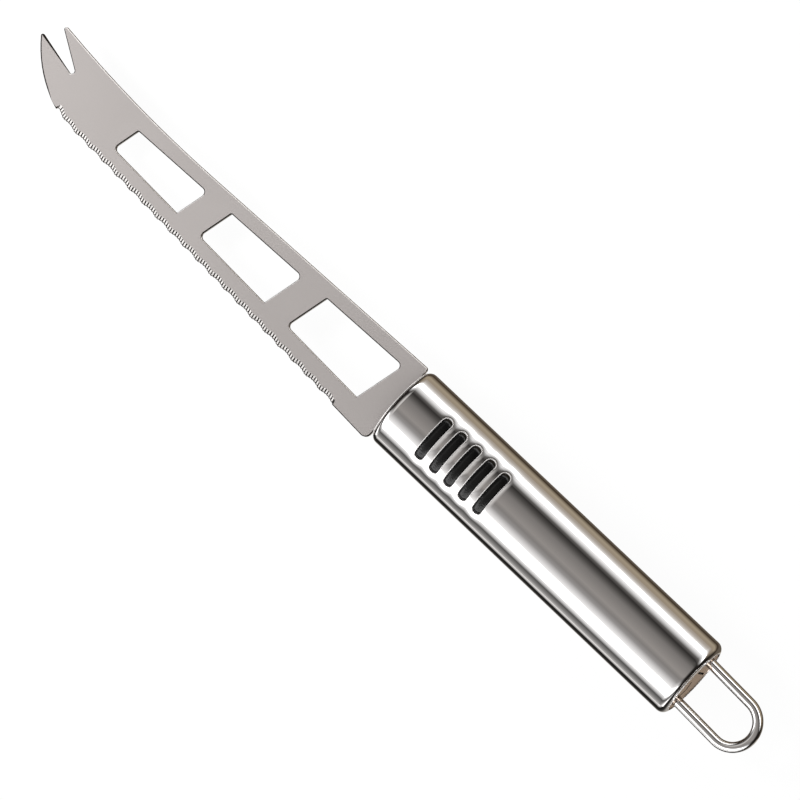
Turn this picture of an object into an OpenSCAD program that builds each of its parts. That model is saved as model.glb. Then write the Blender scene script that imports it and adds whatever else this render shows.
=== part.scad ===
// Cheese knife: forked serrated blade with three windows, oval tube handle, hanging loop.
// It lies flat: +X runs to the hanging loop, +Y to the back of the blade, +Z up.

/* [Handle tube] */
// Length of the tube over its rolled ends
handle_len = 106.8; // [95:0.1:125]
// Width of the oval
handle_w = 23.5; // [23.4:0.1:26]
// Thickness of the oval
handle_t = 15.3; // [14.6:0.1:16.4]
// Radius of the two narrow sides of the oval
side_r = 5.3; // [4.8:0.1:6]
// Wall of the tube
wall = 0.8; // [0.6:0.1:1]
// Radius that both ends are rolled in to
end_r = 2.2; // [1.9:0.1:2.6]

/* [Grip ribs] */
// Number of rubber ribs
rib_count = 5; // [3:1:6]
// Middle of the first rib behind the front of the tube
rib_first = 14.6; // [13:0.1:17]
// Distance from rib to rib
rib_pitch = 5.27; // [4.8:0.01:6]
// Length of a slot over its round ends
slot_len = 13.8; // [12:0.1:15]
// Width of a slot
slot_w = 3.1; // [2.8:0.1:3.4]
// Gap between a rib and its slot
slot_gap = 0.12; // [0.08:0.01:0.16]
// Height of a rib above the tube
rib_proud = 0.6; // [0.4:0.05:0.9]
// Radius of the crown across a rib
crown_r = 2.2; // [2:0.1:3]
// Thickness of the pad that joins the ribs inside the tube
pad_t = 1.2; // [1:0.1:1.6]
// Margin of the pad round the slots
pad_margin = 2; // [1.5:0.1:2.5]

/* [Blade] */
// Reach of the long prong in front of the tube
blade_reach = 140.8; // [135:0.1:150]
// Thickness of the ground blade
blade_t = 1; // [0.8:0.05:1.1]
// Thickness of the tang, which keeps the full sheet
tang_t = 1.2; // [1.15:0.05:1.5]
// Depth of the cutting edge below the axis, at the tube
edge_drop = 13.15; // [12.9:0.05:14]
// Angle at which the cutting edge rises to the tip
edge_angle = 2.8; // [2.4:0.1:3.2]
// Radius of the belly that sweeps the edge up to the tip
belly_r = 33.5; // [32:0.5:35]
// Height of the back above the axis, at the tube
back_rise = 11.7; // [11.4:0.05:11.75]
// Distance of the waist of the back in front of the tube
waist_x = 91; // [88:0.5:94]
// Height of the back above the axis, at the waist
waist_y = 9.17; // [8.9:0.05:9.4]
// Gap between the blade's shoulders and the tube
shoulder_gap = 0.4; // [0.3:0.05:0.6]
// Corner radius of the heel
heel_r = 1.9; // [1.5:0.1:2.2]
// Corner radius of the back at the tube
back_corner_r = 0.9; // [0.6:0.1:1.2]

/* [Forked tip] */
// Distance of the short prong's end behind the long prong's end
prong_step = 3.8; // [3:0.1:5]
// Depth of the notch behind the long prong's end
notch_depth = 13.9; // [13:0.1:15]
// Height of the notch's root above the axis
notch_y = 4.15; // [4:0.05:4.3]
// Angle of the notch's lower side
notch_low_angle = 12.6; // [12:0.1:13.4]
// Angle of the notch's upper side
notch_high_angle = 31.6; // [31:0.1:33]
// Radius of the notch's root
notch_r = 0.8; // [0.7:0.05:0.9]
// Radius of the long prong's end
long_tip_r = 0.5; // [0.4:0.05:0.7]
// Radius of the short prong's end
short_tip_r = 0.6; // [0.5:0.05:0.7]

/* [Windows] */
// Solid blade between the tube and the rear window, along the axis
window_rear_gap = 8.2; // [7.5:0.1:9.5]
// Length of the rear window
rear_window_len = 27.1; // [25:0.1:28]
// Length of the middle window
middle_window_len = 25.6; // [24:0.1:27]
// Length of the front window
front_window_len = 25.1; // [23:0.1:26]
// Width of the bars between the windows, along the axis
bar_w = 8.9; // [8:0.1:9.5]
// Lean of the window ends
window_lean = 14.7; // [13:0.1:16]
// Height of the windows' upper line above the axis, at the tube
window_top = 7.8; // [7.4:0.05:8.1]
// Angle of the windows' upper line
window_top_angle = 1.75; // [1.6:0.05:1.9]
// Depth of the windows' lower line below the axis, at the tube
window_bottom = 7; // [6.6:0.05:7.3]
// Angle of the windows' lower line
window_bottom_angle = 2.08; // [1.9:0.02:2.2]
// Radius of the windows' narrow corners
window_narrow_r = 1.2; // [0.9:0.1:1.5]
// Radius of the windows' wide corners
window_wide_r = 0.35; // [0.3:0.05:0.5]

/* [Cutting edge] */
// Middle of the first wave's hollow in front of the tube
wave_first = 16.5; // [15.5:0.1:17.5]
// Length of a wave
wave_pitch = 5.37; // [5:0.01:5.6]
// Depth of a wave's hollow
wave_depth = 0.42; // [0.3:0.02:0.5]
// Radius of a wave's hollow
wave_r = 6; // [5.5:0.1:7]
// Number of flutes, which run along the waves and on round the belly
flute_count = 129; // [124:1:132]
// Width of a flute
flute_pitch = 0.855; // [0.84:0.005:0.87]
// Depth of a flute
flute_depth = 0.16; // [0.1:0.02:0.2]
// Height of the flutes above the cutting edge
bevel_h = 1.3; // [1.1:0.1:1.6]
// How far the ridges between the flutes lie behind the unground edge
edge_loss = 0.06; // [0.04:0.01:0.1]

/* [Inside the handle] */
// Thickness of the two end plates
plate_t = 1.4; // [1.2:0.1:1.8]
// Gap between pieces that fit into each other
fit = 0.15; // [0.1:0.01:0.2]
// Depth of the end plates' faces below the rolled ends
face_recess = 0.1; // [0.05:0.05:0.2]
// Length of the core that holds the tang
core_len = 58; // [54:0.5:66]
// Width of the tang
tang_w = 12; // [10:0.1:13]
// Length of the tang behind the front of the tube
tang_len = 46; // [42:0.5:50]
// Corner radius of the tang's end
tang_r = 2; // [1:0.1:3]
// Diameter of the pins through the tang
pin_d = 3; // [2.5:0.1:3.4]
// Length of the pins
pin_len = 9.6; // [8.6:0.1:9.8]
// Middle of the first pin behind the front of the tube
pin_first = 12; // [10:0.1:14]
// Distance between the two pins
pin_pitch = 24; // [20:0.5:26]

/* [Hanging loop] */
// Reach of the loop behind the tube
loop_reach = 22.4; // [20:0.1:26]
// Thickness of the wire
wire_d = 2.85; // [2.5:0.05:3]
// Thickness of the two shanks inside the handle, to which the wire is turned down
shank_d = 2.6; // [2.3:0.05:2.7]
// Depth below the handle's end at which the full wire begins
wire_root = 0.6; // [0.5:0.1:0.8]
// Distance between the middles of the two legs
leg_spacing = 13.1; // [12:0.1:13.6]
// Lean of the loop towards the cutting edge
loop_lean = 2.1; // [0:0.1:2.5]
// Thickness of the keeper behind the end cap
keeper_t = 1.5; // [1.2:0.1:2]
// Width of the keeper
keeper_w = 6.6; // [5.6:0.1:7.4]
// Thickness of the upset heads on the wire
head_t = 0.9; // [0.7:0.1:1.2]
// Diameter of the upset heads
head_d = 4.4; // [4:0.1:5]
// Distance of the two staking marks from the axis
stake_y = 2.85; // [2.6:0.05:3]
// Length of the straight staking mark
stake_len = 6; // [5:0.1:7]
// Length of each arm of the angled staking mark
stake_arm = 3; // [2.4:0.1:3.4]
// Angle between an arm of that mark and the straight one
stake_angle = 60; // [50:5:70]
// Depth of a staking mark
stake_depth = 0.25; // [0.2:0.05:0.3]

/* [Hidden] */
$fn = 96;
// Facets of an arc whose circle is larger than the knife
long_fn = 1440;
// How far a cut runs past what it cuts
overrun = 1;
// How far apart two arcs stay that would be tangent, so that their seam is sharp
hair = 0.002;
// How much longer the outermost flanks of the flutes are than the others
flank_share = 1.5;

// The oval is four arcs that meet smoothly: two broad faces and two narrow sides.
half_w = handle_w / 2;
half_t = handle_t / 2;
side_c = half_w - side_r;
face_r = (half_t * half_t + side_c * side_c - side_r * side_r) / (2 * (half_t - side_r));
face_c = face_r - half_t;
seam = [side_c, face_c] / norm([side_c, face_c]) * 2 * handle_w;

// Places along the handle
plate_front = wall + fit;
plate_back = plate_front + plate_t;
core_front = plate_back + fit;
core_back = core_front + core_len;
cap_inner = handle_len - plate_back;
keeper_front = cap_inner - keeper_t;

// The flange of a plate stands clear of the rolled corner that it lies against.
flange_inset = end_r + fit - sqrt(pow(end_r - wall, 2) - pow(end_r - plate_front, 2));

// Places across the grip
pad_front = rib_first - slot_w / 2 - pad_margin;
pad_back = rib_first + (rib_count - 1) * rib_pitch + slot_w / 2 + pad_margin;
pad_half = slot_len / 2 + pad_margin;
slot_sweep = (slot_len - slot_w) / 2 / face_r * 180 / PI;

// The notch is a slender wedge with a round root.
long_tip_x = -blade_reach;
notch_axis_angle = (notch_high_angle + notch_low_angle) / 2;
notch_c = [long_tip_x + notch_depth - notch_r * cos(notch_axis_angle), notch_y];
low_dir = [-cos(notch_low_angle), sin(notch_low_angle)];
low_up = [sin(notch_low_angle), cos(notch_low_angle)];
high_dir = [-cos(notch_high_angle), sin(notch_high_angle)];
high_up = [sin(notch_high_angle), cos(notch_high_angle)];

// The long prong's end touches the notch's lower side, and the belly touches that end
// and the straight cutting edge.
edge_tan = tan(edge_angle);
edge_in = [sin(edge_angle), cos(edge_angle)];
long_tip_c = at_x(notch_c - (notch_r + long_tip_r) * low_up, low_dir, long_tip_x + long_tip_r);
belly_c = on_circle([0, -edge_drop] + belly_r * edge_in, [-edge_in[1], edge_in[0]],
    long_tip_c, belly_r - long_tip_r);
belly_start = belly_c - belly_r * edge_in;

// The short prong's end touches the notch's upper side, and the hollow back touches
// that end at one side of the waist and the straight back at the other.
short_tip_x = long_tip_x + prong_step;
short_tip_c = at_x(notch_c + (notch_r + short_tip_r) * high_up, high_dir, short_tip_x + short_tip_r);
tip_run = short_tip_c[0] + waist_x;
tip_rise = short_tip_c[1] - waist_y;
back_r = (tip_run * tip_run + tip_rise * tip_rise - short_tip_r * short_tip_r)
    / (2 * (tip_rise + short_tip_r));
back_c = [-waist_x, waist_y + back_r];
back_fall = back_r - back_rise + waist_y;
back_angle = atan2(waist_x, back_fall) - acos(back_r / norm([waist_x, back_fall]));
back_start = back_c + back_r * [sin(back_angle), -cos(back_angle)];

// The flutes are ground upwards along a slope. Those past the straight edge are turned
// one by one round the middle of the belly.
bevel_angle = atan(blade_t / bevel_h);
bevel_run = norm([blade_t, bevel_h]) + overrun;
flute_start = wave_first - wave_pitch / 2;
edge_run = norm(belly_start - [0, -edge_drop]);
straight_count = floor((edge_run - flute_start) / flute_pitch);
flute_turn = flute_pitch / belly_r * 180 / PI;

// Ends of the windows where they cross the axis, from the tube forwards
window_lens = [rear_window_len, middle_window_len, front_window_len];
window_backs = [
    -window_rear_gap,
    -window_rear_gap - rear_window_len - bar_w,
    -window_rear_gap - rear_window_len - middle_window_len - 2 * bar_w
];

// The knife's box, for an origin in the middle of its underside
heel_c = [
    -shoulder_gap - heel_r,
    -edge_drop + edge_tan * (shoulder_gap + heel_r) + heel_r / cos(edge_angle)
];
low_y = heel_c[1] - heel_r;
high_y = max(half_w, back_rise);
middle = [(long_tip_x + handle_len + loop_reach) / 2, (low_y + high_y) / 2];

// The point of a line at a given x
function at_x(from, along, x) = from + along * (x - from[0]) / along[0];

// The first point of a line inside which it runs through a circle
function on_circle(from, along, centre, r) =
    let (
        gap = centre - from,
        run = gap * along,
        root = sqrt(run * run - gap * gap + r * r)
    ) from + along * (run - root);

// A corner of a window: the line of its end meets the line of its top or bottom
function window_corner(x, height, slope) =
    let (y = (height + slope * x) / (1 - slope * tan(window_lean)))
    [x + y * tan(window_lean), y];

// Depth of the wave's hollow at a distance along the edge
function hollow(along) =
    let (off = along - wave_first - wave_pitch * round((along - wave_first) / wave_pitch))
    max(0, wave_depth - wave_r + sqrt(wave_r * wave_r - off * off));

// A ridge between two flutes and the root of a flute, seen along the slope and counted
// from the flutes' start
function ridge(i) = flute_point(flute_start + i * flute_pitch, edge_loss);
function root(i) = flute_point(flute_start + (i + 1 / 2) * flute_pitch, edge_loss + flute_depth);
function flute_point(along, depth) = [-along, -sin(bevel_angle) * (depth + hollow(along))];

module placed() {
    translate([-middle[0], -middle[1], half_t]) children();
}

// Turns what was drawn along Z to run along X, with its X across
module along_x() {
    rotate([90, 0, 90]) children();
}

// A round bar along X whose ends may be rounded
module round_bar(r, x0, x1, round_r) {
    along_x() rotate_extrude() {
        difference() {
            translate([0, x0]) square([r, x1 - x0]);
            if (round_r > 0) {
                translate([r - round_r, x0]) square(round_r);
                translate([r - round_r, x1 - round_r]) square(round_r);
            }
        }
        if (round_r > 0) {
            intersection() {
                translate([r - round_r, x0 + round_r]) circle(round_r);
                translate([r - round_r, x0]) square(round_r);
            }
            intersection() {
                translate([r - round_r, x1 - round_r]) circle(round_r);
                translate([r - round_r, x1 - round_r]) square(round_r);
            }
        }
    }
}

// A prism along X with an outline in Y and Z
module prism(points, x0, x1) {
    translate([x0, 0, 0]) along_x() linear_extrude(x1 - x0) polygon(points);
}

// The oval of the tube, drawn in by inset, as a bar along X
module oval_bar(inset, x0, x1, round_r = 0) {
    for (side = [-1, 1]) {
        intersection() {
            translate([0, 0, -side * face_c]) round_bar(face_r - inset, x0, x1, round_r);
            prism([
                [-side_c, 0], [side_c, 0],
                [side_c + seam[0], side * seam[1]], [-side_c - seam[0], side * seam[1]]
            ], x0 - overrun, x1 + overrun);
        }
        if (round_r == 0) translate([0, side * side_c, 0]) round_bar(side_r - inset - hair, x0, x1, 0);
        else intersection() {
            translate([0, side * side_c, 0]) round_bar(side_r - inset, x0, x1, round_r);
            prism([
                [side * side_c, 0],
                [side * (side_c + seam[0]), seam[1]], [side * (side_c + seam[0]), -seam[1]]
            ], x0 - overrun, x1 + overrun);
        }
    }
}

// A polygon with a radius of its own at each corner
module rounded_polygon(points, radii) {
    n = len(points);
    corners = [for (i = [0 : n - 1])
        let (
            here = points[i],
            to_last = points[(i + n - 1) % n] - here,
            to_next = points[(i + 1) % n] - here,
            u = to_last / norm(to_last),
            v = to_next / norm(to_next),
            half = acos(u * v) / 2,
            run = radii[i] / tan(half),
            inward = (u + v) / norm(u + v) * radii[i] / sin(half)
        ) [here + u * run, here + v * run, here + inward]
    ];
    polygon([for (i = [0 : n - 1]) each (radii[i] > 0 ? [corners[i][0], corners[i][1]] : [points[i]])]);
    for (i = [0 : n - 1]) if (radii[i] > 0) translate(corners[i][2]) circle(radii[i] - hair);
}

// What lies past the chord between the two points where a prong's round end begins
module past_chord(a, b) {
    across = (b - a) / norm(b - a);
    out = notch_depth * [across[1], -across[0]];
    polygon([a, b, b + out, a + out]);
}

// The blade in front of its shoulders, with straight edges and no windows
module blade_outline() {
    difference() {
        union() {
            rounded_polygon([
                belly_start,
                [-shoulder_gap, -edge_drop + edge_tan * shoulder_gap],
                [-shoulder_gap, back_rise - tan(back_angle) * shoulder_gap],
                back_start,
                [belly_start[0], back_rise]
            ], [0, heel_r, back_corner_r, 0, 0]);
            intersection() {
                translate([long_tip_x, belly_start[1]]) square([
                    belly_start[0] - long_tip_x + overrun, back_rise + overrun - belly_start[1]
                ]);
                translate(belly_c) circle(belly_r, $fn = long_fn);
            }
        }
        translate(back_c) circle(back_r, $fn = long_fn);
        translate(notch_c) circle(notch_r);
        polygon([
            notch_c - notch_r * low_up, notch_c - notch_r * low_up + low_dir * 2 * notch_depth,
            notch_c + notch_r * high_up + high_dir * 2 * notch_depth, notch_c + notch_r * high_up
        ]);
        past_chord(long_tip_c + long_tip_r * low_up,
            belly_c + belly_r * (long_tip_c - belly_c) / norm(long_tip_c - belly_c));
        past_chord(back_c + back_r * (short_tip_c - back_c) / norm(short_tip_c - back_c),
            short_tip_c - short_tip_r * high_up);
    }
    translate(long_tip_c) circle(long_tip_r);
    translate(short_tip_c) circle(short_tip_r);
}

// A window between two leaning ends
module window(back, length) {
    top = tan(window_top_angle);
    bottom = -tan(window_bottom_angle);
    rounded_polygon([
        window_corner(back - length, -window_bottom, bottom),
        window_corner(back, -window_bottom, bottom),
        window_corner(back, window_top, top),
        window_corner(back - length, window_top, top)
    ], [window_narrow_r, window_wide_r, window_narrow_r, window_wide_r]);
}

// The straight cutting edge as a line of its own, from the tube towards the tip
module on_edge() {
    translate([0, -edge_drop]) rotate(-edge_angle) children();
}

module blade() {
    color([0.72, 0.71, 0.7]) placed() {
        difference() {
            translate([0, 0, -blade_t / 2]) linear_extrude(blade_t) difference() {
                union() {
                    blade_outline();
                    translate([-shoulder_gap - overrun, -tang_w / 2])
                        square([shoulder_gap + 2 * overrun, tang_w]);
                }
                for (i = [0 : 2]) window(window_backs[i], window_lens[i]);
            }
            on_edge() flutes(0, straight_count);
            for (i = [straight_count : flute_count - 1])
                translate(belly_c) rotate((straight_count - i) * flute_turn) translate(-belly_c)
                    on_edge() translate([(i - straight_count) * flute_pitch, 0, 0]) flutes(i, 1);
        }
        tang();
    }
}

// What the wheel grinds off: a row of flutes whose outermost flanks run on past their ridges
module flutes(first, count) {
    last = first + count - 1;
    open_first = root(first) + flank_share * (ridge(first) - root(first));
    open_last = root(last) + flank_share * (ridge(last + 1) - root(last));
    translate([0, 0, -blade_t / 2]) rotate([90 + bevel_angle, 0, 0]) translate([0, 0, -bevel_run])
        linear_extrude(bevel_run + overrun) polygon([
            [open_first[0], overrun], open_first, root(first),
            for (i = [first + 1 : 1 : last]) each [ridge(i), root(i)],
            open_last, [open_last[0], overrun]
        ]);
}

module tang() {
    translate([0, 0, -tang_t / 2]) linear_extrude(tang_t) difference() {
        rounded_polygon([
            [0, -tang_w / 2], [tang_len, -tang_w / 2], [tang_len, tang_w / 2], [0, tang_w / 2]
        ], [0, tang_r, tang_r, 0]);
        for (i = [0, 1]) translate([pin_first + i * pin_pitch, 0]) circle(d = pin_d + fit);
    }
}

module tang_pins() {
    color([0.6, 0.6, 0.6]) placed() for (i = [0, 1])
        translate([pin_first + i * pin_pitch, 0, -pin_len / 2]) cylinder(d = pin_d, h = pin_len);
}

module handle_tube() {
    color([0.8, 0.79, 0.78]) placed() difference() {
        oval_bar(0, 0, handle_len, end_r);
        oval_bar(wall, wall, handle_len - wall, end_r - wall);
        oval_bar(end_r, -overrun, handle_len + overrun);
        for (i = [0 : rib_count - 1])
            bent_bar(rib_first + i * rib_pitch, slot_w / 2, face_r - wall - overrun, face_r + overrun);
    }
}

// The outline across a bar, flat on top or crowned
module bar_profile(half, low, high, crown) {
    intersection() {
        translate([-half, low]) square([2 * half, high - low]);
        if (crown == 0) translate([-half, low]) square([2 * half, high - low]);
        else {
            translate([0, high - crown]) circle(crown);
            translate([-half, low]) square([2 * half, high - crown - low]);
        }
    }
}

// A bar bent over the broad face of the oval, with round ends
module bent_bar(x, half, low, high, crown = 0) {
    translate([x, 0, -face_c]) for (side = [0, 1]) mirror([0, side, 0]) {
        along_x() rotate(90 - slot_sweep) rotate_extrude(angle = slot_sweep)
            mirror([1, -1]) bar_profile(half, low, high, crown);
        rotate([-slot_sweep, 0, 0]) rotate_extrude(angle = 180) intersection() {
            bar_profile(half, low, high, crown);
            translate([0, low]) square([half, high - low]);
        }
    }
}

// One moulding of rubber: a pad inside the tube and a crowned rib in each slot
module grip_insert() {
    inset = wall + fit;
    color([0.09, 0.09, 0.09]) placed() {
        intersection() {
            difference() {
                oval_bar(inset, pad_front, pad_back);
                oval_bar(inset + pad_t, pad_front - overrun, pad_back + overrun);
            }
            translate([pad_front, -pad_half, 0]) cube([pad_back - pad_front, 2 * pad_half, half_t]);
        }
        for (i = [0 : rib_count - 1])
            bent_bar(rib_first + i * rib_pitch, slot_w / 2 - slot_gap,
                face_r - inset - pad_t / 2, face_r + rib_proud, crown_r);
    }
}

// One half of the moulded core that fills the front of the tube and grips the tang
module core(side) {
    inset = wall + fit;
    difference() {
        intersection() {
            oval_bar(inset, core_front, core_back);
            translate([core_front, -half_w, min(side, 0) * half_t]) cube([core_len, handle_w, half_t]);
        }
        translate([0, -tang_w / 2 - fit, -tang_t / 2 - fit])
            cube([tang_len + fit, tang_w + 2 * fit, tang_t + 2 * fit]);
        for (i = [0, 1]) translate([pin_first + i * pin_pitch, 0, -pin_len / 2 - fit])
            cylinder(d = pin_d + fit, h = pin_len + 2 * fit);
        if (side > 0) difference() {
            translate([pad_front - fit, -pad_half - fit, 0])
                cube([pad_back - pad_front + 2 * fit, 2 * (pad_half + fit), half_t]);
            oval_bar(inset + pad_t + fit, pad_front - overrun, pad_back + overrun);
        }
    }
}

module core_upper() {
    color([0.2, 0.22, 0.25]) placed() core(1);
}

module core_lower() {
    color([0.25, 0.27, 0.3]) placed() core(-1);
}

// A stepped plate: a flange behind the rolled end and a face that fills the opening
module end_plate() {
    oval_bar(flange_inset, plate_front, plate_back);
    oval_bar(end_r + fit, face_recess, plate_back);
}

module front_plate() {
    color([0.7, 0.69, 0.68]) placed() difference() {
        end_plate();
        translate([-overrun, -tang_w / 2 - fit, -tang_t / 2 - fit])
            cube([plate_back + 2 * overrun, tang_w + 2 * fit, tang_t + 2 * fit]);
    }
}

module end_cap() {
    color([0.62, 0.56, 0.5]) placed() difference() {
        translate([handle_len, 0, 0]) mirror([1, 0, 0]) end_plate();
        for (side = [-1, 1]) translate([cap_inner - overrun, side * leg_spacing / 2, 0])
            along_x() cylinder(d = wire_d + fit, h = plate_back + 2 * overrun);
        staking();
    }
}

// The marks of the tool that stakes the cap to the keeper: a straight one and an angled one
module staking() {
    face = handle_len - face_recess;
    translate([face, stake_y, 0]) chisel(stake_len);
    for (side = [-1, 1]) translate([face, -stake_y, 0]) rotate([side * stake_angle, 0, 0])
        translate([0, 0, stake_arm / 2]) chisel(stake_arm);
}

module chisel(length) {
    translate([0, 0, -length / 2]) rotate(45)
        translate([-stake_depth, -stake_depth, 0]) cube([2 * stake_depth, 2 * stake_depth, length]);
}

module hanging_loop() {
    color([0.85, 0.85, 0.85]) placed() {
        for (side = [-1, 1]) {
            translate([keeper_front, side * leg_spacing / 2, 0])
                along_x() cylinder(d = shank_d, h = handle_len - keeper_front - face_recess - wire_root / 2);
            translate([keeper_front - head_t, side * leg_spacing / 2, 0])
                along_x() cylinder(d = head_d, h = head_t);
        }
        translate([handle_len, 0, 0]) rotate(-loop_lean) bow();
    }
}

// The leaning part of the loop: two legs and a half turn
module bow() {
    leg = (loop_reach - (leg_spacing + wire_d) / 2) / cos(loop_lean);
    for (side = [-1, 1]) translate([-wire_root, side * leg_spacing / 2, 0])
        along_x() cylinder(d = wire_d, h = leg + wire_root);
    translate([leg, 0, 0]) rotate(-90) rotate_extrude(angle = 180)
        translate([leg_spacing / 2, 0]) circle(d = wire_d, $fn = 72);
}

// The strip inside the end cap that the wire's heads pull against
module loop_keeper() {
    color([0.66, 0.66, 0.66]) placed() difference() {
        union() {
            for (side = [-1, 1]) translate([keeper_front, side * leg_spacing / 2, 0])
                along_x() cylinder(d = keeper_w, h = keeper_t);
            translate([keeper_front, -leg_spacing / 2, -keeper_w / 2])
                cube([keeper_t, leg_spacing, keeper_w]);
        }
        for (side = [-1, 1]) translate([keeper_front - overrun, side * leg_spacing / 2, 0])
            along_x() cylinder(d = shank_d + fit, h = keeper_t + 2 * overrun);
    }
}

blade();
front_plate();
handle_tube();
grip_insert();
core_upper();
core_lower();
tang_pins();
end_cap();
hanging_loop();
loop_keeper();
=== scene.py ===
from math import copysign, cos, hypot, inf, pi, radians, sin

import bmesh
import bpy
from mathutils import Matrix, Vector


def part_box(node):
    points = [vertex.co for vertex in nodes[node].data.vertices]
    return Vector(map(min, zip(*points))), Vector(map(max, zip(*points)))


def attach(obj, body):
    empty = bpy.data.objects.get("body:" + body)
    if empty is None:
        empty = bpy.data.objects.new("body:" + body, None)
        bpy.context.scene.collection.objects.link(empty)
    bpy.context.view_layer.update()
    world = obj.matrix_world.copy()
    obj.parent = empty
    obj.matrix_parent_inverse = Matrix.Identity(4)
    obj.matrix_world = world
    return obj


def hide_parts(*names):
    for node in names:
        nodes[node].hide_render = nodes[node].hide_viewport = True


# A cheese knife lying flat: +X to the hanging loop, +Y to the back of the blade, +Z up.
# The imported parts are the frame. Most keep their own shapes and get their finish here.
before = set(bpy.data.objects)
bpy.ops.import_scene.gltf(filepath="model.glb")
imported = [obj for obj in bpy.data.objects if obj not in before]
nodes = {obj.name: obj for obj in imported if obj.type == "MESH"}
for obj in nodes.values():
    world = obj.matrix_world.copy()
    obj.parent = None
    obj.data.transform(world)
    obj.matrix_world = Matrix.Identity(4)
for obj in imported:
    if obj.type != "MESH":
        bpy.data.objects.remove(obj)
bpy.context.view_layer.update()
MM = 0.001

# Camera
# The photograph looks down on the knife from 1.65 m, leaning 15 degrees to the loop's end.
# Its scale is 0.26 mm a pixel where the blade meets the handle.
VIEW = Vector((0.2504, 0.1180, 0.9609)).normalized()
ROLL_COS, ROLL_SIN = 0.72565, 0.68805
CAMERA_DISTANCE = 1652.8 * MM
MM_PER_PIXEL = 0.2599
PHOTO_WIDTH = 800
SENSOR_WIDTH = 36
NECK = Vector((5.431, 0.643, 7.65)) * MM
AIM_RIGHT, AIM_UP = 0.172 * MM, 0.701 * MM

along = Vector((1, 0, 0))
along = (along - VIEW * along.dot(VIEW)).normalized()
across = VIEW.cross(along)
photo_right = ROLL_COS * along + ROLL_SIN * across
photo_up = -ROLL_SIN * along + ROLL_COS * across
aim = NECK + AIM_RIGHT * photo_right + AIM_UP * photo_up
camera = bpy.data.objects.new("camera", bpy.data.cameras.new("camera"))
bpy.context.collection.objects.link(camera)
camera.data.sensor_width = SENSOR_WIDTH
camera.data.lens = SENSOR_WIDTH * CAMERA_DISTANCE / (PHOTO_WIDTH * MM_PER_PIXEL * MM)
camera.data.clip_end = 10
turn = Matrix((photo_right, photo_up, VIEW)).transposed()
camera.matrix_world = Matrix.Translation(aim + CAMERA_DISTANCE * VIEW) @ turn.to_4x4()
bpy.context.scene.camera = camera
bpy.context.scene.view_settings.view_transform = "Standard"


# Room
# The studio is a light tent: long white panels over the knife, dark gaps between them and
# a brown table edge behind it. The panels run along the knife, so each has one angle round
# its axis, from straight above, towards the back of the blade.
def linear(hex_colour):
    """A linear colour from an sRGB hex value."""
    parts = [int(hex_colour[i : i + 2], 16) / 255 for i in (1, 3, 5)]
    return tuple(c / 12.92 if c <= 0.04045 else ((c + 0.055) / 1.055) ** 2.4 for c in parts) + (1,)


def add(tree, kind, inputs=None, **settings):
    """Adds a node with its settings; each input is a socket to link or a value to set."""
    made = tree.nodes.new(kind)
    for name, value in settings.items():
        setattr(made, name, value)
    for name, value in (inputs or {}).items():
        if isinstance(value, bpy.types.NodeSocket):
            tree.links.new(value, made.inputs[name])
        else:
            made.inputs[name].default_value = value
    return made


PANELS = [
    (-180, "#B0A699"),
    (-165, "#A8A49E"),
    (-155, "#8A8782"),
    (-143, "#444240"),
    (-133, "#2C2B29"),
    (-113, "#141312"),
    (-106, "#343332"),
    (-98, "#D0CECC"),
    (-93, "#FFFFFF"),
    (-88, "#F4F2F0"),
    (-80, "#7E7D7C"),
    (-73, "#4C4B4A"),
    (-67, "#D0D0D0"),
    (-61, "#FFFFFF"),
    (-42, "#FFFFFF"),
    (-31, "#CCCBCB"),
    (-23, "#949291"),
    (-15, "#807D7B"),
    (-7, "#928E8B"),
    (15, "#787573"),
    (25, "#504E4C"),
    (32, "#2C2A29"),
    (38, "#5E5C5A"),
    (47, "#E8E8E8"),
    (52, "#FFFFFF"),
    (60, "#FFFFFF"),
    (67, "#A8A096"),
    (73, "#908475"),
    (98, "#A09480"),
    (127, "#382C20"),
    (150, "#5E564C"),
]
ROOM_STRENGTH, PANEL_STRENGTH = 1.15, 4
PANEL_MIDDLE = 0.9, 1.0
# Each of these begins at its first value and is full at its second, by how far up or along
# the knife a ray points.
TIP_LIGHT_UP = 0.7, 0.85
TIP_LIGHT_AHEAD = -0.3, -0.4
DARK_ENDS = 0.68, 0.92
world = bpy.data.worlds.new("light tent")
bpy.context.scene.world = world
world.use_nodes = True
tree = world.node_tree
tree.nodes.clear()
look = add(tree, "ShaderNodeSeparateXYZ", {0: add(tree, "ShaderNodeTexCoord").outputs["Generated"]})
angle = add(tree, "ShaderNodeMath", {0: look.outputs["Y"], 1: look.outputs["Z"]}, operation="ARCTAN2")
share = add(tree, "ShaderNodeMapRange", {"Value": angle.outputs[0], "From Min": -pi, "From Max": pi})
panels = add(tree, "ShaderNodeValToRGB", {"Fac": share.outputs[0]})
for place, colour in PANELS[2:]:
    panels.color_ramp.elements.new((place + 180) / 360)
for stop, (place, colour) in zip(panels.color_ramp.elements, PANELS):
    stop.position = (place + 180) / 360
    stop.color = linear(colour)
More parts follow.
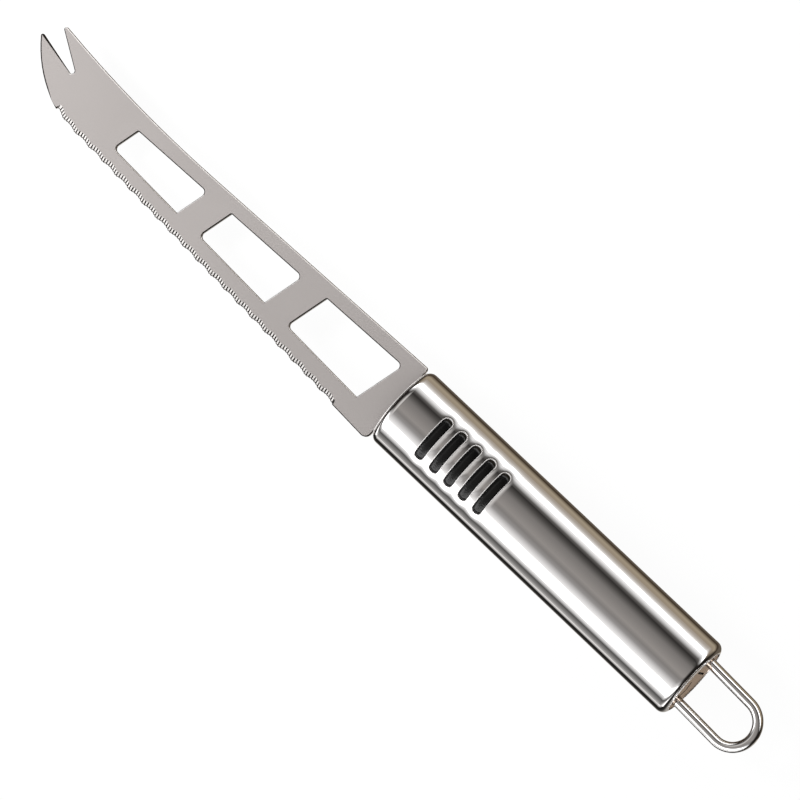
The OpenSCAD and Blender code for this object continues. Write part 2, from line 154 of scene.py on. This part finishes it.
# A panel hangs low over the tip. Both ends of the tent are dark.
overhead = add(
    tree,
    "ShaderNodeMapRange",
    {"Value": look.outputs["Z"], "From Min": TIP_LIGHT_UP[0], "From Max": TIP_LIGHT_UP[1]},
)
over_tip = add(
    tree,
    "ShaderNodeMapRange",
    {
        "Value": look.outputs["X"],
        "From Min": TIP_LIGHT_AHEAD[0],
        "From Max": TIP_LIGHT_AHEAD[1],
        "To Max": overhead.outputs[0],
    },
)
with_tip = add(
    tree,
    "ShaderNodeMix",
    {0: over_tip.outputs[0], 6: panels.outputs[0], 7: linear("#C4C2C0")},
    data_type="RGBA",
)
endways = add(tree, "ShaderNodeMath", {0: look.outputs["X"]}, operation="ABSOLUTE")
dark_share = add(
    tree,
    "ShaderNodeMapRange",
    {"Value": endways.outputs[0], "From Min": DARK_ENDS[0], "From Max": DARK_ENDS[1]},
)
with_ends = add(
    tree,
    "ShaderNodeMix",
    {0: dark_share.outputs[0], 6: with_tip.outputs[2], 7: linear("#1A1715")},
    data_type="RGBA",
)
# The middle of each white panel is far brighter than its rim, which the black rubber shows.
glare = add(
    tree,
    "ShaderNodeMapRange",
    {
        "Value": panels.outputs[0],
        "From Min": PANEL_MIDDLE[0],
        "From Max": PANEL_MIDDLE[1],
        "To Min": ROOM_STRENGTH,
        "To Max": PANEL_STRENGTH,
    },
)
tent = add(tree, "ShaderNodeBackground", {"Color": with_ends.outputs[2], "Strength": glare.outputs[0]})
white = add(tree, "ShaderNodeBackground", {"Color": (1, 1, 1, 1), "Strength": 1})
path = add(tree, "ShaderNodeLightPath")
sky = add(
    tree,
    "ShaderNodeMixShader",
    {0: path.outputs["Is Camera Ray"], 1: tent.outputs[0], 2: white.outputs[0]},
)
add(tree, "ShaderNodeOutputWorld", {"Surface": sky.outputs[0]})

# A soft lamp over the tip gives the matte blade its falling light. The polish doesn't show it.
LAMP_SIDE, LAMP_WATTS = 0.12, 1.5
LAMP_PLACE, LAMP_TARGET = Vector((-0.25, -0.08, 0.2)), Vector((-0.08, 0, 0))
lamp = bpy.data.lights.new("tip_panel", "AREA")
lamp.shape = "RECTANGLE"
lamp.size, lamp.size_y = LAMP_SIDE, LAMP_SIDE
lamp.energy = LAMP_WATTS
tip_panel = bpy.data.objects.new("tip_panel", lamp)
lamp_turn = (LAMP_PLACE - LAMP_TARGET).to_track_quat("Z", "Y")
tip_panel.matrix_world = Matrix.Translation(LAMP_PLACE) @ lamp_turn.to_matrix().to_4x4()
bpy.context.collection.objects.link(tip_panel)
tip_panel.visible_glossy = False


# Floor
# A sheet of white paper that the camera sees as the photograph's white ground. The steel
# shows the table of the room instead of it, as in the photograph.
def blank(name):
    """A new material with an empty tree, and that tree."""
    material = bpy.data.materials.new(name)
    material.use_nodes = True
    material.node_tree.nodes.clear()
    return material, material.node_tree


PAPER_GLOW = 0.96
PAPER_REACH = 0.6
paper, tree = blank("white paper")
matte = add(tree, "ShaderNodeBsdfDiffuse", {"Color": linear("#F2F2F2")})
glow = add(tree, "ShaderNodeEmission", {"Color": (1, 1, 1, 1), "Strength": 1})
path = add(tree, "ShaderNodeLightPath")
seen = add(tree, "ShaderNodeMath", {0: path.outputs["Is Camera Ray"], 1: PAPER_GLOW}, operation="MULTIPLY")
mixed = add(tree, "ShaderNodeMixShader", {0: seen.outputs[0], 1: matte.outputs[0], 2: glow.outputs[0]})
add(tree, "ShaderNodeOutputMaterial", {"Surface": mixed.outputs[0]})
sheet = bmesh.new()
bmesh.ops.create_grid(sheet, x_segments=1, y_segments=1, size=PAPER_REACH)
floor_mesh = bpy.data.meshes.new("paper_floor")
sheet.to_mesh(floor_mesh)
sheet.free()
floor_mesh.materials.append(paper)
floor = bpy.data.objects.new("paper_floor", floor_mesh)
bpy.context.collection.objects.link(floor)
floor.visible_glossy = False


# Blade
# One sheet of stainless steel, stamped out, ground to a fine matte face and fluted along the
# edge by a profiled wheel. Stamping leaves a small round on the upper rims, which is painted
# dark as a line of shade where it faces the edge.
# The grain of the grinding is drawn coarser than it is, so that it shows, over a faint cloud
# of lighter and darker steel.
GRAIN, GRAIN_DEPTH = 0.25 * MM, 0.004 * MM
CLOUD = 25 * MM
satin, tree = blank("satin ground stainless steel")
place = add(tree, "ShaderNodeTexCoord").outputs["Object"]
grain = add(
    tree, "ShaderNodeTexNoise", {"Vector": place, "Scale": 1 / GRAIN, "Detail": 3, "Roughness": 0.6}
)
cloud = add(tree, "ShaderNodeTexNoise", {"Vector": place, "Scale": 1 / CLOUD, "Detail": 2})
tone = add(
    tree,
    "ShaderNodeMix",
    {0: cloud.outputs[0], 6: linear("#A9A4A2"), 7: linear("#B3AEAC")},
    data_type="RGBA",
)
rough = add(tree, "ShaderNodeMapRange", {"Value": grain.outputs[0], "To Min": 0.5, "To Max": 0.6})
relief = add(tree, "ShaderNodeBump", {"Height": grain.outputs[0], "Distance": GRAIN_DEPTH, "Strength": 1})
coat = add(
    tree,
    "ShaderNodeBsdfPrincipled",
    {
        "Base Color": tone.outputs[2],
        "Metallic": 0.7,
        "Roughness": rough.outputs[0],
        "Normal": relief.outputs[0],
    },
)
add(tree, "ShaderNodeOutputMaterial", {"Surface": coat.outputs[0]})

# The rims that wear, and the lips of the tube and of its slots, are as bright as fresh
# grinding. The scratches of the wheel run across the blade.
SCRATCH = 0.08 * MM
SCRATCH_STRETCH = 0.1


def wheel_scratches(tree, place):
    """The roughness that the wheel leaves, in long scratches."""
    stretched = add(
        tree, "ShaderNodeMapping", {"Vector": place, "Scale": (1, SCRATCH_STRETCH, SCRATCH_STRETCH)}
    )
    scratches = add(
        tree, "ShaderNodeTexNoise", {"Vector": stretched.outputs[0], "Scale": 1 / SCRATCH, "Detail": 2}
    )
    return add(tree, "ShaderNodeMapRange", {"Value": scratches.outputs[0], "To Min": 0.4, "To Max": 0.55})


ground, tree = blank("wheel-ground stainless steel")
place = add(tree, "ShaderNodeTexCoord").outputs["Object"]
rough = wheel_scratches(tree, place)
coat = add(
    tree,
    "ShaderNodeBsdfPrincipled",
    {"Base Color": linear("#E6E4E3"), "Metallic": 0.6, "Roughness": rough.outputs[0]},
)
add(tree, "ShaderNodeOutputMaterial", {"Surface": coat.outputs[0]})

# The flutes are nearly as bright, but for the edge itself, where a thin band is painted dark.
# It follows the height above the lowest point of the edge.
EDGE_BAND, EDGE_BAND_FADE = 0.14 * MM, 0.1 * MM
tube_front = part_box("handle_tube")[0][0]
edge_low = min(v.co.z for v in nodes["blade"].data.vertices if v.co.x < tube_front)
fluted, tree = blank("wheel-fluted stainless edge")
place = add(tree, "ShaderNodeTexCoord").outputs["Object"]
height = add(tree, "ShaderNodeSeparateXYZ", {"Vector": place})
clear = add(
    tree,
    "ShaderNodeMapRange",
    {"Value": height.outputs["Z"], "From Min": edge_low + EDGE_BAND, "From Max": edge_low + EDGE_BAND + EDGE_BAND_FADE},
)
# A thin band along the lowest part of the edge is painted dark.
tone = add(
    tree,
    "ShaderNodeMix",
    {0: clear.outputs[0], 6: linear("#4A4643"), 7: linear("#CFCCCA")},
    data_type="RGBA",
)
rough = wheel_scratches(tree, place)
coat = add(
    tree,
    "ShaderNodeBsdfPrincipled",
    {"Base Color": tone.outputs[2], "Metallic": 0.6, "Roughness": rough.outputs[0]},
)
add(tree, "ShaderNodeOutputMaterial", {"Surface": coat.outputs[0]})

# One flank of each flute is painted dark as shade, so each flute has a bright and a dark side.
# Rims that face the edge are painted as dark.
painted_shade_steel, tree = blank("stainless steel painted in shade")
place = add(tree, "ShaderNodeTexCoord").outputs["Object"]
shade_grain = add(tree, "ShaderNodeTexNoise", {"Vector": place, "Scale": 1 / GRAIN, "Detail": 2})
rough = add(tree, "ShaderNodeMapRange", {"Value": shade_grain.outputs[0], "To Min": 0.3, "To Max": 0.45})
# A dark base colour: painted shade on the flute flanks and rims that face the edge.
coat = add(
    tree,
    "ShaderNodeBsdfPrincipled",
    {"Base Color": linear("#2E2B2A"), "Metallic": 1, "Roughness": rough.outputs[0]},
)
add(tree, "ShaderNodeOutputMaterial", {"Surface": coat.outputs[0]})

# The sheared walls are plain.
sheared, tree = blank("sheared stainless edge")
place = add(tree, "ShaderNodeTexCoord").outputs["Object"]
tear = add(tree, "ShaderNodeTexNoise", {"Vector": place, "Scale": 1 / GRAIN, "Detail": 2})
rough = add(tree, "ShaderNodeMapRange", {"Value": tear.outputs[0], "To Min": 0.2, "To Max": 0.32})
coat = add(
    tree,
    "ShaderNodeBsdfPrincipled",
    {"Base Color": linear("#C0BBB8"), "Metallic": 1, "Roughness": rough.outputs[0]},
)
add(tree, "ShaderNodeOutputMaterial", {"Surface": coat.outputs[0]})

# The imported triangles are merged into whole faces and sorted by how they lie: level faces,
# upright walls, and the slopes of the flutes between them.
SATIN, GROUND, SHEARED, SHADED, FLUTED = range(5)
SAME_POINT, SAME_PLANE = 0.002 * MM, radians(0.4)
LEVEL, UPRIGHT = 0.99, 0.1
blade_mesh = bmesh.new()
blade_mesh.from_mesh(nodes["blade"].data)
bmesh.ops.remove_doubles(blade_mesh, verts=blade_mesh.verts, dist=SAME_POINT)
bmesh.ops.dissolve_limit(
    blade_mesh, angle_limit=SAME_PLANE, verts=blade_mesh.verts, edges=blade_mesh.edges
)
blade_mesh.normal_update()
for face in blade_mesh.faces:
    up = abs(face.normal.z)
    face.material_index = SATIN if up > LEVEL else SHEARED if up < UPRIGHT else GROUND

# The prong beside the edge has a wider round, painted dark all over as shade. It comes first, and the
# second pass leaves it alone, as no level face borders a sheared wall there any more.
RIM_ROUND, PRONG_ROUND, ROUND_STEPS = 0.28 * MM, 0.45 * MM, 4
PRONG_X, PRONG_Y = -122 * MM, 7 * MM
RIM_INNER = 0.9
TOP_BAND = 0.1 * MM
top = max(v.co.z for v in blade_mesh.verts if v.co.x < tube_front)
for limit_x, limit_y, rim_round in ((PRONG_X, PRONG_Y, PRONG_ROUND), (tube_front, inf, RIM_ROUND)):
    rims = [
        e
        for e in blade_mesh.edges
        if sorted(f.material_index for f in e.link_faces) == [SATIN, SHEARED]
        and min(v.co.z for v in e.verts) > top - TOP_BAND
        and max(v.co.x for v in e.verts) < limit_x
        and max(v.co.y for v in e.verts) < limit_y
    ]
    rounds = bmesh.ops.bevel(
        blade_mesh,
        geom=rims,
        offset=rim_round,
        segments=ROUND_STEPS,
        profile=0.5,
        affect="EDGES",
        material=-1,
    )
    # Rounds that face the edge, and all of the prong's round, are painted dark as shade.
    for face in rounds["faces"]:
        dark = rim_round == PRONG_ROUND or face.normal.y < 0
        worn = face.normal.z > RIM_INNER and face.calc_center_median().y > 0
        face.material_index = SHADED if dark else GROUND if worn else SHEARED

# A flank that leans further to the tip than its neighbours is painted dark as the shaded side of its
# flute.
flanks = [
    face
    for face in blade_mesh.faces
    if face.material_index == GROUND and face.calc_center_median().z < top - TOP_BAND
]
for face in flanks:
    others = [f.normal.x for e in face.edges for f in e.link_faces if f in flanks and f is not face]
    leans = others and face.normal.x < sum(others) / len(others)
    face.material_index = SHADED if leans else FLUTED
blade_data = bpy.data.meshes.new("stamped_blade")
blade_mesh.to_mesh(blade_data)
blade_mesh.free()
for material in (satin, ground, sheared, painted_shade_steel, fluted):
    blade_data.materials.append(material)
stamped_blade = bpy.data.objects.new("stamped_blade", blade_data)
bpy.context.collection.objects.link(stamped_blade)
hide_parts("blade")
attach(stamped_blade, "root")


# Handle tube
# An oval tube of stainless steel, drawn, polished and rolled in at both ends. The five slots
# are punched from outside, which dents the sheet round them and leaves a bright rolled rim.
SIDE_R, END_R = 5.3 * MM, 2.2 * MM
# The slots and their dents are in millimetres, as the relief works in them.
RIB_FIRST, RIB_PITCH, RIB_COUNT = 14.6, 5.27, 5
SLOT_LEN, SLOT_W = 13.8, 3.1
DENT_DEPTH, DENT_REACH = 0.13, 0.8
DRAWING_LINE, DRAWING_STRETCH = 0.12 * MM, 0.02
RIM_WIRE, LIP_WIRE = 0.15 * MM, 0.12 * MM
RIM_SINK = 0.05 * MM
FRONT_LIP_TURN, END_LIP_TURN = 62, 86

tube_low, tube_high = (Vector(corner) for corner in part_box("handle_tube"))
tube_mid = (tube_low + tube_high) / 2
half_w, half_t = (tube_high.y - tube_low.y) / 2, (tube_high.z - tube_low.z) / 2
side_c = half_w - SIDE_R
face_r = (half_t**2 + side_c**2 - SIDE_R**2) / (2 * (half_t - SIDE_R))
face_c = face_r - half_t

# The polish mirrors the room. Its relief dents the sheet round the nearest slot, less with
# every millimetre from the slot's outline, on the upper face alone.
polished, tree = blank("polished drawn stainless steel")
place = add(tree, "ShaderNodeTexCoord").outputs["Object"]
to_first = -(tube_low / MM + Vector((RIB_FIRST, 0, 0)))
to_first.y, to_first.z = -tube_mid.y / MM, -tube_mid.z / MM
in_mm = add(
    tree, "ShaderNodeVectorMath", {0: place, 1: (1 / MM,) * 3, 2: to_first}, operation="MULTIPLY_ADD"
)
axes = add(tree, "ShaderNodeSeparateXYZ", {0: in_mm.outputs[0]})
ribs_on = add(tree, "ShaderNodeMath", {0: axes.outputs["X"], 1: RIB_PITCH}, operation="DIVIDE")
nearest = add(tree, "ShaderNodeMath", {0: ribs_on.outputs[0]}, operation="ROUND")
not_before = add(tree, "ShaderNodeMath", {0: nearest.outputs[0], 1: 0.0}, operation="MAXIMUM")
not_past = add(tree, "ShaderNodeMath", {0: not_before.outputs[0], 1: RIB_COUNT - 1.0}, operation="MINIMUM")
beside = add(
    tree,
    "ShaderNodeMath",
    {0: not_past.outputs[0], 1: -RIB_PITCH, 2: axes.outputs["X"]},
    operation="MULTIPLY_ADD",
)
across_slot = add(tree, "ShaderNodeMath", {0: axes.outputs["Y"]}, operation="ABSOLUTE")
past_end = add(
    tree, "ShaderNodeMath", {0: across_slot.outputs[0], 1: (SLOT_LEN - SLOT_W) / 2}, operation="SUBTRACT"
)
past_end = add(tree, "ShaderNodeMath", {0: past_end.outputs[0], 1: 0.0}, operation="MAXIMUM")
from_slot = add(tree, "ShaderNodeCombineXYZ", {"X": beside.outputs[0], "Y": past_end.outputs[0]})
reach = add(tree, "ShaderNodeVectorMath", {0: from_slot.outputs[0]}, operation="LENGTH")
reach = add(tree, "ShaderNodeMath", {0: reach.outputs["Value"], 1: -SLOT_W / 2}, operation="ADD")
reach = add(tree, "ShaderNodeMath", {0: reach.outputs[0], 1: -1 / DENT_REACH}, operation="MULTIPLY")
reach = add(tree, "ShaderNodeMath", {0: reach.outputs[0], 1: 0.0}, operation="MINIMUM")
dent = add(tree, "ShaderNodeMath", {0: reach.outputs[0]}, operation="EXPONENT")
upper = add(tree, "ShaderNodeMath", {0: axes.outputs["Z"], 1: 0.0}, operation="GREATER_THAN")
dent = add(tree, "ShaderNodeMath", {0: dent.outputs[0], 1: upper.outputs[0]}, operation="MULTIPLY")
pressed = add(
    tree,
    "ShaderNodeBump",
    {"Height": dent.outputs[0], "Distance": DENT_DEPTH * MM, "Strength": 1},
    invert=True,
)
stretched = add(tree, "ShaderNodeMapping", {"Vector": place, "Scale": (DRAWING_STRETCH, 1, 1)})
lines = add(
    tree, "ShaderNodeTexNoise", {"Vector": stretched.outputs[0], "Scale": 1 / DRAWING_LINE, "Detail": 3}
)
rough = add(tree, "ShaderNodeMapRange", {"Value": lines.outputs[0], "To Min": 0.02, "To Max": 0.06})
coat = add(
    tree,
    "ShaderNodeBsdfPrincipled",
    {
        "Base Color": linear("#EEECEB"),
        "Metallic": 1,
        "Roughness": rough.outputs[0],
        "Normal": pressed.outputs[0],
    },
)
add(tree, "ShaderNodeOutputMaterial", {"Surface": coat.outputs[0]})


def dress(piece, material):
    """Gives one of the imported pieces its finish."""
    mesh = nodes[piece].data
    mesh.materials.clear()
    mesh.materials.append(material)


dress("handle_tube", polished)


def oval_point(turn, inset):
    """Across and up at an angle round the oval, drawn in by inset."""
    out = Vector((sin(turn), cos(turn)))
    if abs(out.x) < side_c / hypot(side_c, face_c):
        centre, r = Vector((0, -copysign(face_c, out.y))), face_r
    else:
        centre, r = Vector((copysign(side_c, out.x), 0)), SIDE_R
    return centre + (r - inset) * out


def bright_edge(name, points, r):
    """A closed thin bead along points, which catches the light as a worked edge does."""
    curve = bpy.data.curves.new(name, "CURVE")
    curve.dimensions = "3D"
    curve.bevel_depth = r
    curve.bevel_resolution = 2
    curve.use_fill_caps = False
    line = curve.splines.new("POLY")
    line.points.add(len(points) - 1)
    for target, point in zip(line.points, points):
        target.co = (*point, 1)
    line.use_cyclic_u = True
    curve.materials.append(ground)
    made = bpy.data.objects.new(name, curve)
    bpy.context.collection.objects.link(made)
    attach(made, "root")


# Each slot's rim is a racetrack: two half turns, with the straight sides in short runs that
# follow the crown of the oval.
SLOT_STEPS, SIDE_RUNS = 12, 8
straight, slot_r = (SLOT_LEN - SLOT_W) / 2 * MM, SLOT_W / 2 * MM
outline = []
for side in (1, -1):
    for step in range(SLOT_STEPS + 1):
        turn_by = pi * step / SLOT_STEPS
        outline.append((side * cos(turn_by) * slot_r, side * (straight + sin(turn_by) * slot_r)))
for number in range(RIB_COUNT):
    x = tube_low.x + (RIB_FIRST + number * RIB_PITCH) * MM
    points = []
    for i, (dx, dy) in enumerate(outline):
        ahead = outline[(i + 1) % len(outline)]
        runs = SIDE_RUNS if abs(ahead[1] - dy) > straight else 1
        for run in range(runs):
            y = dy + (ahead[1] - dy) * run / runs
            up = (face_r**2 - y**2) ** 0.5 - face_c - RIM_SINK
            points.append((x + dx + (ahead[0] - dx) * run / runs, tube_mid.y + y, tube_mid.z + up))
    bright_edge(f"slot_rim_{number + 1}", points, RIM_WIRE)

# A bead runs round the turn of each rolled end.
LIP_STEPS = 128
for name, side, turn_by in (("front_lip", 1, FRONT_LIP_TURN), ("end_lip", -1, END_LIP_TURN)):
    x = (tube_low.x if side > 0 else tube_high.x) + side * END_R * (1 - sin(radians(turn_by)))
    inset = END_R * (1 - cos(radians(turn_by)))
    ring = [oval_point(2 * pi * step / LIP_STEPS, inset) for step in range(LIP_STEPS)]
    bright_edge(name, [(x, tube_mid.y + p.x, tube_mid.z + p.y) for p in ring], LIP_WIRE)


# Grip ribs
# One moulding of black rubber pressed up through the slots. It is semi-matte from the mould,
# so that it shows soft lights along the crowns and small bright ones at their ends.
MOULD_GRAIN, MOULD_DEPTH = 0.35 * MM, 0.04 * MM
rubber, tree = blank("moulded black rubber")
place = add(tree, "ShaderNodeTexCoord").outputs["Object"]
skin = add(tree, "ShaderNodeTexNoise", {"Vector": place, "Scale": 1 / MOULD_GRAIN, "Detail": 3})
tone = add(
    tree,
    "ShaderNodeMix",
    {0: skin.outputs[0], 6: linear("#050505"), 7: linear("#101010")},
    data_type="RGBA",
)
rough = add(tree, "ShaderNodeMapRange", {"Value": skin.outputs[0], "To Min": 0.1, "To Max": 0.18})
relief = add(tree, "ShaderNodeBump", {"Height": skin.outputs[0], "Distance": MOULD_DEPTH, "Strength": 1})
coat = add(
    tree,
    "ShaderNodeBsdfPrincipled",
    {
        "Base Color": tone.outputs[2],
        "Roughness": rough.outputs[0],
        "Specular IOR Level": 0.3,
        "IOR": 1.5,
        "Normal": relief.outputs[0],
    },
)
add(tree, "ShaderNodeOutputMaterial", {"Surface": coat.outputs[0]})
dress("grip_insert", rubber)


# End plates
# Two stepped plates of pressed stainless steel behind the rolled ends. The front one closes
# the tube round the tang. Both plates are satin, with a brown tone that is a painted reflection
# of the table, and the end cap has the marks of the tool that stakes it. The marks lie below
# the cap's face and are painted dark as shade.
BRUSH_LINE, BRUSH_DEPTH, BRUSH_STRETCH = 0.1 * MM, 0.004 * MM, 0.08
MARK_SHADE_FROM, MARK_SHADE_FULL = 0.004 * MM, 0.03 * MM
pressed_steel_painted_reflection, tree = blank("pressed satin stainless steel, painted brown reflection")
place = add(tree, "ShaderNodeTexCoord").outputs["Object"]
stretched = add(tree, "ShaderNodeMapping", {"Vector": place, "Scale": (1, BRUSH_STRETCH, 1)})
brushing = add(
    tree, "ShaderNodeTexNoise", {"Vector": stretched.outputs[0], "Scale": 1 / BRUSH_LINE, "Detail": 3}
)
# The brown tone is a painted reflection of the table.
tone = add(
    tree,
    "ShaderNodeMix",
    {0: brushing.outputs[0], 6: linear("#B29A84"), 7: linear("#C8B09A")},
    data_type="RGBA",
)
rough = add(tree, "ShaderNodeMapRange", {"Value": brushing.outputs[0], "To Min": 0.25, "To Max": 0.4})
relief = add(
    tree, "ShaderNodeBump", {"Height": brushing.outputs[0], "Distance": BRUSH_DEPTH, "Strength": 1}
)
cap_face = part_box("end_cap")[1][0]
axes = add(tree, "ShaderNodeSeparateXYZ", {0: place})
struck = add(
    tree,
    "ShaderNodeMapRange",
    {"Value": axes.outputs["X"], "From Min": cap_face - MARK_SHADE_FROM, "From Max": cap_face - MARK_SHADE_FULL},
)
# The recessed marks are painted dark as shade.
marks_painted_shade = add(
    tree,
    "ShaderNodeMix",
    {0: struck.outputs[0], 6: tone.outputs[2], 7: linear("#1C140E")},
    data_type="RGBA",
)
coat = add(
    tree,
    "ShaderNodeBsdfPrincipled",
    {
        "Base Color": marks_painted_shade.outputs[2],
        "Metallic": 1,
        "Roughness": rough.outputs[0],
        "Normal": relief.outputs[0],
    },
)
add(tree, "ShaderNodeOutputMaterial", {"Surface": coat.outputs[0]})
for name in ("front_plate", "end_cap"):
    dress(name, pressed_steel_painted_reflection)


# Inside the handle
# Two halves of moulded plastic grip the tang, with two dowels of drawn steel through all
# three, and a strip of the same steel holds the wire's heads. None of them shows.
FLOW_MARK, DRAW_MARK = 2 * MM, 0.3 * MM
moulded, tree = blank("moulded polypropylene")
place = add(tree, "ShaderNodeTexCoord").outputs["Object"]
flow = add(tree, "ShaderNodeTexNoise", {"Vector": place, "Scale": 1 / FLOW_MARK, "Detail": 2})
tone = add(
    tree,
    "ShaderNodeMix",
    {0: flow.outputs[0], 6: linear("#34373A"), 7: linear("#424549")},
    data_type="RGBA",
)
rough = add(tree, "ShaderNodeMapRange", {"Value": flow.outputs[0], "To Min": 0.45, "To Max": 0.6})
coat = add(
    tree,
    "ShaderNodeBsdfPrincipled",
    {"Base Color": tone.outputs[2], "Roughness": rough.outputs[0], "IOR": 1.49},
)
add(tree, "ShaderNodeOutputMaterial", {"Surface": coat.outputs[0]})
for name in ("core_upper", "core_lower"):
    dress(name, moulded)

drawn, tree = blank("plain drawn steel")
place = add(tree, "ShaderNodeTexCoord").outputs["Object"]
marks = add(tree, "ShaderNodeTexNoise", {"Vector": place, "Scale": 1 / DRAW_MARK, "Detail": 3})
rough = add(tree, "ShaderNodeMapRange", {"Value": marks.outputs[0], "To Min": 0.3, "To Max": 0.5})
coat = add(
    tree,
    "ShaderNodeBsdfPrincipled",
    {"Base Color": linear("#B4B2B0"), "Metallic": 1, "Roughness": rough.outputs[0]},
)
add(tree, "ShaderNodeOutputMaterial", {"Surface": coat.outputs[0]})
for name in ("tang_pins", "loop_keeper"):
    dress(name, drawn)


# Hanging loop
# One bent wire of stainless steel, polished bright, with the faint rings that drawing and
# bending leave.
RING, RING_DEPTH = 1.2 * MM, 0.006 * MM
wire, tree = blank("polished stainless wire")
place = add(tree, "ShaderNodeTexCoord").outputs["Object"]
polish = add(tree, "ShaderNodeTexNoise", {"Vector": place, "Scale": 1 / RING, "Detail": 2})
rough = add(tree, "ShaderNodeMapRange", {"Value": polish.outputs[0], "To Min": 0.02, "To Max": 0.06})
relief = add(tree, "ShaderNodeBump", {"Height": polish.outputs[0], "Distance": RING_DEPTH, "Strength": 1})
coat = add(
    tree,
    "ShaderNodeBsdfPrincipled",
    {
        "Base Color": linear("#F0EFEE"),
        "Metallic": 1,
        "Roughness": rough.outputs[0],
        "Normal": relief.outputs[0],
    },
)
add(tree, "ShaderNodeOutputMaterial", {"Surface": coat.outputs[0]})
dress("hanging_loop", wire)
